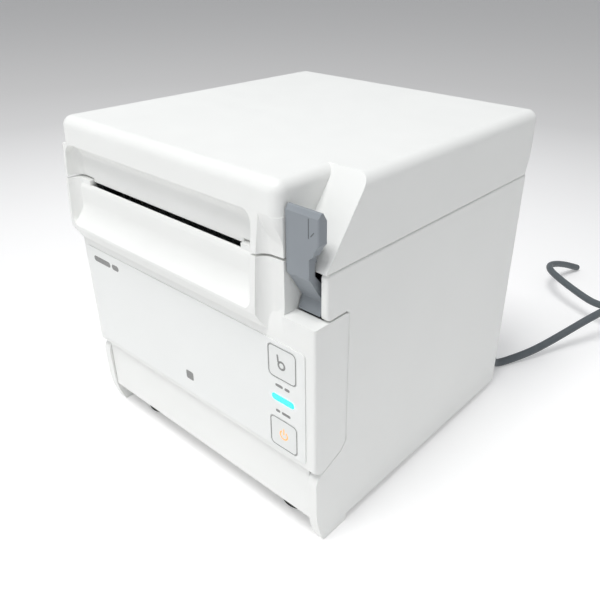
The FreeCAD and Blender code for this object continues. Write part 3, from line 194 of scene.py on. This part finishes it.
def light_lens():
    """The lit window: a bright cyan core whose tint varies a little in patches."""
    made = Surface("status_lens", Roughness=0.25, Coat_Weight=0.6, Coat_Roughness=0.1)
    made.edges(0.2 * MM)
    core = made.mix(made.spread(made.noise(4 * MM), 0.0, 1.0), (0.0, 0.80, 0.90), (0.0, 0.92, 1.0))
    made.colour(core)
    made.link(core, made.shader.inputs["Emission Color"])
    made.shader.inputs["Emission Strength"].default_value = 1.0
    return made


def lever_plastic():
    return moulded("lever_grey", (0.275, 0.300, 0.325), 0.5, 0.4 * MM, 0.03 * MM, shade=0.08,
                   worn=(0.36, 0.39, 0.42))


def dark_plastic():
    return moulded("base_dark", (0.045, 0.048, 0.052), 0.5, 0.5 * MM, 0.03 * MM, shade=0.2,
                   worn=(0.09, 0.09, 0.095))


def bay_plastic():
    return moulded("bay_grey", (0.105, 0.11, 0.118), 0.42, 0.4 * MM, 0.02 * MM, shade=0.12,
                   worn=(0.19, 0.20, 0.21))


def black_plastic():
    return moulded("part_black", (0.018, 0.018, 0.020), 0.45, 0.35 * MM, 0.02 * MM, shade=0.2,
                   worn=(0.05, 0.05, 0.05))


def gear_plastic():
    made = moulded("acetal", (0.72, 0.68, 0.58), 0.42, 0.3 * MM, 0.01 * MM, shade=0.06)
    made.shader.inputs["Subsurface Weight"].default_value = 0.15
    made.shader.inputs["Subsurface Scale"].default_value = 1 * MM
    return made


def rubber(name, colour, rough, grain, depth):
    """Rubber with a dusty bloom that lightens it in patches."""
    made = Surface(name, Specular_IOR_Level=0.3)
    bloom = made.spread(made.noise(6 * MM, 5.0), 0.0, 0.35, start=0.45, end=0.8)
    made.edges(0.25 * MM)
    made.colour(made.mix(bloom, colour, [0.6 * channel + 0.10 for channel in colour]))
    made.roughness(made.spread(made.noise(3 * MM, 4.0), rough - 0.08, rough + 0.08))
    made.bump(made.noise(grain, 3.0), depth, 0.5)
    return made


def soft_rubber():
    return rubber("foot_rubber", (0.02, 0.02, 0.021), 0.85, 0.5 * MM, 0.04 * MM)


def roller_rubber():
    return rubber("platen_rubber", (0.03, 0.031, 0.033), 0.6, 0.25 * MM, 0.02 * MM)


def cable_rubber():
    return rubber("cable_jacket", (0.10, 0.115, 0.125), 0.5, 0.4 * MM, 0.015 * MM)


def zinc_steel():
    """Zinc-plated sheet: faint spangle under a fine rolling grain."""
    made = metal("zinc_sheet", (0.60, 0.61, 0.60), 0.36, 0.8 * MM, 0.006 * MM, (1, 6, 1))
    made.bump(made.cells(3 * MM), 0.01 * MM, 0.3)
    return made


def bright_steel():
    return metal("ground_steel", (0.72, 0.73, 0.74), 0.22, 0.3 * MM, 0.004 * MM, (0.2, 1, 1))


def blade_steel():
    return metal("blade_steel", (0.55, 0.56, 0.57), 0.28, 0.5 * MM, 0.006 * MM, (1, 1, 0.1))


def sink_aluminium():
    return metal("sink_aluminium", (0.70, 0.71, 0.72), 0.34, 0.6 * MM, 0.01 * MM, (0.1, 1, 1))


def socket_metal():
    return metal("tinned_shell", (0.62, 0.62, 0.61), 0.3, 0.7 * MM, 0.006 * MM, (1, 0.3, 1))


def motor_can():
    """Painted motor can with the orange peel of a thin coat."""
    made = moulded("motor_can", (0.03, 0.03, 0.032), 0.35, 0.9 * MM, 0.03 * MM, shade=0.2,
                   worn=(0.16, 0.16, 0.16))
    made.shader.inputs["Coat Weight"].default_value = 0.3
    return made


def ceramic_head():
    """Glazed substrate, glossy, with a brown cast."""
    made = moulded("head_glaze", (0.12, 0.105, 0.09), 0.2, 1.2 * MM, 0.01 * MM, shade=0.25)
    made.shader.inputs["Coat Weight"].default_value = 0.8
    return made


def circuit_board():
    """Solder mask over copper: paler tracks show through the green."""
    made = Surface("circuit_board", Coat_Weight=0.4, Coat_Roughness=0.2)
    tracks = made.add("TexBrick", offset=0.37, squash=1.6)
    for key, value in (("Scale", 140.0), ("Mortar Size", 0.045), ("Mortar Smooth", 0.2)):
        tracks.inputs[key].default_value = value
    made.link(made.place, tracks.inputs["Vector"])
    made.edges(0.1 * MM)
    mask = made.mix(made.spread(made.noise(20 * MM), 0.0, 1.0), (0.008, 0.085, 0.035), (0.012, 0.11, 0.05))
    made.colour(made.mix(tracks.outputs["Fac"], mask, (0.03, 0.20, 0.08)))
    made.roughness(made.spread(made.noise(5 * MM, 4.0), 0.28, 0.42))
    made.bump(tracks.outputs["Fac"], 0.035 * MM)
    return made


def flex_film():
    """Amber film with its copper lines running down it."""
    made = Surface("flex_film", Coat_Weight=0.5, Roughness=0.3)
    lines = made.add("TexWave", bands_direction="X")
    lines.inputs["Scale"].default_value = 250.0
    made.link(made.place, lines.inputs["Vector"])
    made.edges(0.1 * MM)
    made.colour(made.mix(made.spread(lines.outputs["Fac"], 0.0, 1.0, 0.45, 0.55),
                         (0.46, 0.20, 0.03), (0.62, 0.32, 0.07)))
    made.bump(lines.outputs["Fac"], 0.03 * MM, 0.5)
    return made


def ink(name, colour):
    """Screen-printed ink: a thin satin film that is not quite even."""
    made = Surface(name, Roughness=0.5)
    pale = [min(1.0, channel * 1.25 + 0.01) for channel in colour]
    made.colour(made.mix(made.spread(made.noise(0.5 * MM, 3.0), 0.0, 1.0), colour, pale))
    made.roughness(made.spread(made.noise(0.8 * MM, 3.0), 0.42, 0.58))
    made.bump(made.noise(0.2 * MM), 0.005 * MM, 0.5)
    return made


def glowing_ink():
    made = ink("lit_symbol", (0.80, 0.36, 0.10))
    made.shader.inputs["Emission Color"].default_value = (1.0, 0.42, 0.12, 1.0)
    made.shader.inputs["Emission Strength"].default_value = 0.5
    return made


def gold():
    return metal("gold_contacts", (0.80, 0.55, 0.22), 0.25, 0.3 * MM, 0.003 * MM, (1, 0.2, 1))


def dress_cad_nodes():
    """Every CAD node keeps its mesh and gets the finish of its material slot."""
    finishes = {
        "white_plastic": white_plastic(), "overlay_film": overlay_film(), "key_plastic": key_plastic(),
        "light_lens": light_lens(), "lever_plastic": lever_plastic(), "dark_plastic": dark_plastic(),
        "bay_plastic": bay_plastic(), "black_plastic": black_plastic(), "gear_plastic": gear_plastic(),
        "soft_rubber": soft_rubber(), "roller_rubber": roller_rubber(), "cable_rubber": cable_rubber(),
        "zinc_steel": zinc_steel(), "bright_steel": bright_steel(), "blade_steel": blade_steel(),
        "sink_aluminium": sink_aluminium(), "socket_metal": socket_metal(), "motor_can": motor_can(),
        "ceramic_head": ceramic_head(), "circuit_board": circuit_board(), "flex_film": flex_film(),
    }
    for node in NODES.values():
        for slot in node.material_slots:
            slot.material = finishes[slot.material.name.split(".")[0]].material
    return finishes


# ---------------------------------------------------------------- mesh tools

def piece(name, mesh_maker, surface, body):
    """A new visible piece, built by mesh_maker into a bmesh, riding on a CAD body."""
    bm = bmesh.new()
    mesh_maker(bm)
    bmesh.ops.recalc_face_normals(bm, faces=bm.faces)
    mesh = bpy.data.meshes.new(name)
    bm.to_mesh(mesh)
    bm.free()
    made = bpy.data.objects.new(name, mesh)
    bpy.context.scene.collection.objects.link(made)
    mesh.materials.append(surface.material)
    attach(made, body)
    return made


def front_of(node, x, z):
    """Depth of a CAD node's surface as seen from the front at (x, z)."""
    hit, place, _, _ = NODES[node].ray_cast(Vector((x, -0.2, z)), Vector((0, 1, 0)))
    if not hit:
        raise ValueError(f"nothing of {node} stands behind ({x}, {z})")
    return place.y


class Print:
    """Flat marks laid on the front of a CAD node, given as (x, z) outlines about a centre."""

    RISE = 0.04 * MM
    SINK = 0.03 * MM

    def __init__(self, bm, node, centre):
        self.bm, self.node, self.centre = bm, node, centre

    def corner(self, point, step):
        x, z = self.centre[0] + point[0], self.centre[1] + point[1]
        return self.bm.verts.new((x, front_of(self.node, x, z) + step, z))

    def solid(self, outline):
        """A filled mark."""
        top = [self.corner(point, -self.RISE) for point in outline]
        foot = [self.corner(point, self.SINK) for point in outline]
        self.bm.faces.new(top)
        self.bm.faces.new(list(reversed(foot)))
        self.wall(top, foot)

    def ring(self, outer, inner):
        """A closed line between two outlines of the same number of points."""
        loops = [[self.corner(point, step) for point in line]
                 for line in (outer, inner) for step in (-self.RISE, self.SINK)]
        outer_top, outer_foot, inner_top, inner_foot = loops
        self.wall(outer_top, inner_top)
        self.wall(outer_foot, inner_foot)
        self.wall(outer_top, outer_foot)
        self.wall(inner_top, inner_foot)

    def wall(self, first, second):
        count = len(first)
        for i in range(count):
            j = (i + 1) % count
            self.bm.faces.new((first[i], first[j], second[j], second[i]))


def arc(centre, radius, start, end, steps):
    """Points on an arc, angles in degrees."""
    points = []
    for step in range(steps + 1):
        angle = math.radians(start + (end - start) * step / steps)
        points.append((centre[0] + radius * math.cos(angle), centre[1] + radius * math.sin(angle)))
    return points


def rounded(width, height, radius, centre=(0.0, 0.0), steps=6):
    """A rectangle with rounded corners."""
    across, up = width / 2 - radius, height / 2 - radius
    points = []
    for turn, (side, rise) in enumerate(((1, 1), (-1, 1), (-1, -1), (1, -1))):
        middle = (centre[0] + side * across, centre[1] + rise * up)
        points += arc(middle, radius, 90 * turn, 90 * turn + 90, steps)
    return points


def stroke(start, end, width, steps=6):
    """A straight line with round ends."""
    angle = math.degrees(math.atan2(end[1] - start[1], end[0] - start[0]))
    half = width / 2
    return arc(end, half, angle - 90, angle + 90, steps) + arc(start, half, angle + 90, angle + 270, steps)


def bow(radius, width, start, end, steps=28):
    """A curved line: part of a ring, angles in degrees."""
    outside = arc((0, 0), radius + width / 2, start, end, steps)
    return outside + arc((0, 0), radius - width / 2, end, start, steps)


def middle_of(node):
    low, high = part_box(node)
    return (low + high) / 2


# ---------------------------------------------------------------- printed marks

KEY_FLANGE = 1.0 * MM  # how far a key's hidden flange stands out round its cap


def key_frames(surface):
    """The thin printed square round each key."""
    for node, body in (("feed_key", "feed_button"), ("power_key", "power_button")):
        low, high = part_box(node)
        centre = (low + high) / 2
        cap = high.x - low.x - 2 * KEY_FLANGE
        line = 0.26 * MM

        def draw(bm):
            mark = Print(bm, node, (centre.x, centre.z))
            rim = cap - 0.1 * MM
            mark.ring(rounded(rim, rim, 1.75 * MM), rounded(rim - 2 * line, rim - 2 * line, 1.5 * MM))

        piece(node + "_frame", draw, surface, body)


def feed_symbol(surface):
    """A paper roll seen from its end with the paper coming off it."""
    centre = middle_of("feed_key")

    def draw(bm):
        mark = Print(bm, "feed_key", (centre.x - 0.2 * MM, centre.z - 0.6 * MM))
        mark.ring(arc((0, 0), 1.75 * MM, 0, 350, 35), arc((0, 0), 1.0 * MM, 0, 350, 35))
        mark.solid(stroke((-1.45 * MM, 1.0 * MM), (-1.75 * MM, 3.4 * MM), 0.7 * MM))

    piece("feed_symbol", draw, surface, "feed_button")


def power_symbol(surface):
    """The usual broken ring and bar."""
    centre = middle_of("power_key")

    def draw(bm):
        mark = Print(bm, "power_key", (centre.x, centre.z - 0.2 * MM))
        mark.solid(bow(1.7 * MM, 0.55 * MM, 125, 415))
        mark.solid(stroke((0, 0.3 * MM), (0, 2.5 * MM), 0.55 * MM))

    piece("power_symbol", draw, surface, "power_button")


def bars(mark, row, height, gap, widths):
    """A row of plain round-ended bars, centred, in place of words."""
    x = -(sum(widths) + gap * (len(widths) - 1)) / 2
    for width in widths:
        mark.solid(rounded(width, height, 0.48 * height, (x + width / 2, row)))
        x += width + gap


def panel_marks(surface):
    """Plain bars and a plain tile where a maker would print a name, key names and a badge."""
    light = middle_of("status_light")
    low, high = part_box("panel_overlay")

    def draw(bm):
        mark = Print(bm, "panel_overlay", (light.x, light.z))
        bars(mark, 5.3 * MM, 1.1 * MM, 0.8 * MM, (3.4 * MM, 2.3 * MM))
        bars(mark, -5.4 * MM, 1.1 * MM, 0.8 * MM, (2.0 * MM, 4.0 * MM))
        name = Print(bm, "panel_overlay", (low.x + 13.3 * MM, high.z - 4.7 * MM))
        bars(name, 0.0, 2.4 * MM, 1.2 * MM, (11.6 * MM, 4.6 * MM))
        tile = Print(bm, "panel_overlay", (0.2 * MM, 45.7 * MM))
        tile.solid(rounded(4.2 * MM, 3.8 * MM, 0.7 * MM))

    piece("panel_marks", draw, surface, "printer")


def lever_mark(surface):
    """The pull mark on the lever: a long line with a short tick at its foot."""
    def draw(bm):
        mark = Print(bm, "open_lever", (60.8 * MM, 0.0))
        mark.solid(stroke((0, 126.4 * MM), (0, 120.6 * MM), 0.35 * MM))
        mark.solid(stroke((0.9 * MM, 121.4 * MM), (2.0 * MM, 122.7 * MM), 0.35 * MM))

    piece("lever_mark", draw, surface, "latch")


# ---------------------------------------------------------------- rear details

def bar(bm, low, high, chamfer):
    """A bar with chamfered long edges."""
    made = bmesh.ops.create_cube(bm, size=1.0)["verts"]
    size = Vector(high) - Vector(low)
    bmesh.ops.scale(bm, vec=size, verts=made)
    bmesh.ops.translate(bm, vec=(Vector(low) + Vector(high)) / 2, verts=made)
    edges = list({edge for vert in made for edge in vert.link_edges})
    bmesh.ops.bevel(bm, geom=edges, offset=chamfer, segments=2, profile=0.5, affect="EDGES")


def contacts(name, node, count, pitch, length, rise, surface):
    """A comb of contacts inside the mouth of a socket."""
    low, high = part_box(node)
    middle = (low.x + high.x) / 2
    tip = high.y - 4 * MM
    foot = low.z + rise
    half = pitch * 0.3

    def draw(bm):
        for i in range(count):
            x = middle + (i - (count - 1) / 2) * pitch
            bar(bm, (x - half, tip - length, foot), (x + half, tip, foot + 0.5 * MM), 0.1 * MM)

    piece(name, draw, surface, "printer")


def lathe_along_x(bm, profile, centre, sides=40):
    """Turns a profile of (x, radius) about a line along X through centre."""
    rings = []
    for x, radius in profile:
        ring = []
        for i in range(sides):
            angle = 2 * math.pi * i / sides
            y = centre[0] + radius * math.cos(angle)
            z = centre[1] + radius * math.sin(angle)
            ring.append(bm.verts.new((x, y, z)))
        rings.append(ring)
    closed = rings + [rings[0]]
    for first, second in zip(closed, closed[1:]):
        for i in range(sides):
            j = (i + 1) % sides
            bm.faces.new((first[i], first[j], second[j], second[i]))


def plug_ribs(surface):
    """The raised ribs of the bend relief where the lead leaves the plug."""
    low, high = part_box("power_plug")
    centre = (high.y - 4.0 * MM, (low.z + high.z) / 2)
    foot, rim = 2.9 * MM, 3.55 * MM
    rib = ((-0.4 * MM, foot), (-0.3 * MM, rim), (0.3 * MM, rim), (0.4 * MM, foot))
    pitch = 1.4 * MM

    def draw(bm):
        for i in range(3):
            x = high.x - 3 * pitch + i * pitch
            lathe_along_x(bm, [(x + step, radius) for step, radius in rib], centre)

    piece("plug_ribs", draw, surface, "printer")


# ---------------------------------------------------------------- stage

FLOOR_RADIUS = 4.0
FLOOR_FADE = (0.30, 0.80)  # distances from the object between which the floor turns from white to grey
GLOW = 0.22  # the floor gives a little light of its own near the object, which lifts the shadows on it
GLOW_FADE = (0.15, 0.60)


def floor():
    """A plain pale floor that falls away to grey, as a lit table does in a dim room."""
    made = Surface("pale_floor", Roughness=0.55)
    ground = made.add("VectorMath", operation="LENGTH")
    made.link(made.place, ground.inputs[0])
    fade = made.spread(ground.outputs["Value"], 0.0, 1.0, *FLOOR_FADE)
    speckle = made.spread(made.noise(60 * MM, 4.0), 0.0, 0.015)
    near = made.mix(speckle, (0.84, 0.835, 0.83), (0.74, 0.74, 0.73))
    made.shader.inputs["Emission Color"].default_value = (1.0, 1.0, 1.0, 1.0)
    painted_glow = made.spread(ground.outputs["Value"], GLOW, 0.0, *GLOW_FADE)
    made.link(painted_glow, made.shader.inputs["Emission Strength"])
    made.colour(made.mix(fade, near, (0.74, 0.73, 0.72)))
    made.bump(made.noise(1.5 * MM, 3.0), 0.01 * MM, 0.3)
    bm = bmesh.new()
    bmesh.ops.create_circle(bm, cap_ends=True, segments=96, radius=FLOOR_RADIUS)
    mesh = bpy.data.meshes.new("floor")
    bm.to_mesh(mesh)
    bm.free()
    mesh.materials.append(made.material)
    ground_object = bpy.data.objects.new("floor", mesh)
    bpy.context.scene.collection.objects.link(ground_object)


def softbox(name, place, target, size, power):
    """A square soft light aimed at a point, its power in watts."""
    light = bpy.data.lights.new(name, "AREA")
    light.size = size
    light.energy = power
    made = bpy.data.objects.new(name, light)
    bpy.context.scene.collection.objects.link(made)
    made.location = place
    made.rotation_euler = (Vector(target) - Vector(place)).to_track_quat("-Z", "Y").to_euler()


def lights():
    """A bright box high in front, a weak one low at the left, and an even pale room; sizes in metres."""
    heart = (0.0, 0.0, 0.07)
    softbox("ceiling", place=(0.0, -0.45, 1.25), target=heart, size=0.5, power=10.6)
    softbox("window", place=(-0.4, -1.1, 0.3), target=heart, size=0.7, power=0.9)
    world = bpy.data.worlds.new("room")
    world.use_nodes = True
    sky = world.node_tree.nodes["Background"]
    sky.inputs["Color"].default_value = (0.95, 0.97, 1.0, 1.0)
    sky.inputs["Strength"].default_value = 0.50
    bpy.context.scene.world = world


CAMERA_PLACE = (0.1732, -0.1871, 0.19387)  # metres
CAMERA_AZIMUTH = math.radians(40.5)  # from straight ahead, towards the object's right
CAMERA_ELEVATION = math.radians(28.65)
CAMERA_ROLL = math.radians(0.77)
FOCAL_LENGTH = 38.716  # millimetres, on a sensor 36 mm wide
CAMERA_SHIFT = (-0.0504, -0.0118)  # parts of the picture's width


def camera():
    """Stands to the right of the front corner and looks down on it."""
    azimuth, elevation, roll = CAMERA_AZIMUTH, CAMERA_ELEVATION, CAMERA_ROLL
    back = Vector((math.sin(azimuth) * math.cos(elevation), -math.cos(azimuth) * math.cos(elevation),
                   math.sin(elevation)))
    right = Vector((math.cos(azimuth), math.sin(azimuth), 0.0))
    up = back.cross(right)
    across = right * math.cos(roll) + up * math.sin(roll)
    upright = up * math.cos(roll) - right * math.sin(roll)
    data = bpy.data.cameras.new("camera")
    data.sensor_width = 36.0
    data.lens = FOCAL_LENGTH
    data.shift_x, data.shift_y = CAMERA_SHIFT
    data.clip_start = 0.01
    made = bpy.data.objects.new("camera", data)
    bpy.context.scene.collection.objects.link(made)
    turn = Matrix((across, upright, back)).transposed().to_4x4()
    made.matrix_world = Matrix.Translation(CAMERA_PLACE) @ turn
    bpy.context.scene.camera = made
    bpy.context.scene.view_settings.view_transform = "Standard"


finishes = dress_cad_nodes()
grey_ink = ink("grey_ink", (0.22, 0.22, 0.215))
bpy.context.view_layer.update()
key_frames(grey_ink)
feed_symbol(grey_ink)
power_symbol(glowing_ink())
panel_marks(grey_ink)
lever_mark(ink("lever_line", (0.09, 0.10, 0.11)))
contact_gold = gold()
contacts("usb_contacts", "usb_socket", 4, 1.9 * MM, 6 * MM, 5.2 * MM, contact_gold)
contacts("network_contacts", "network_socket", 8, 1.1 * MM, 8 * MM, 2.6 * MM, contact_gold)
contacts("drawer_contacts", "drawer_socket", 6, 1.1 * MM, 8 * MM, 2.6 * MM, contact_gold)
plug_ribs(finishes["cable_rubber"])
floor()
lights()
camera()
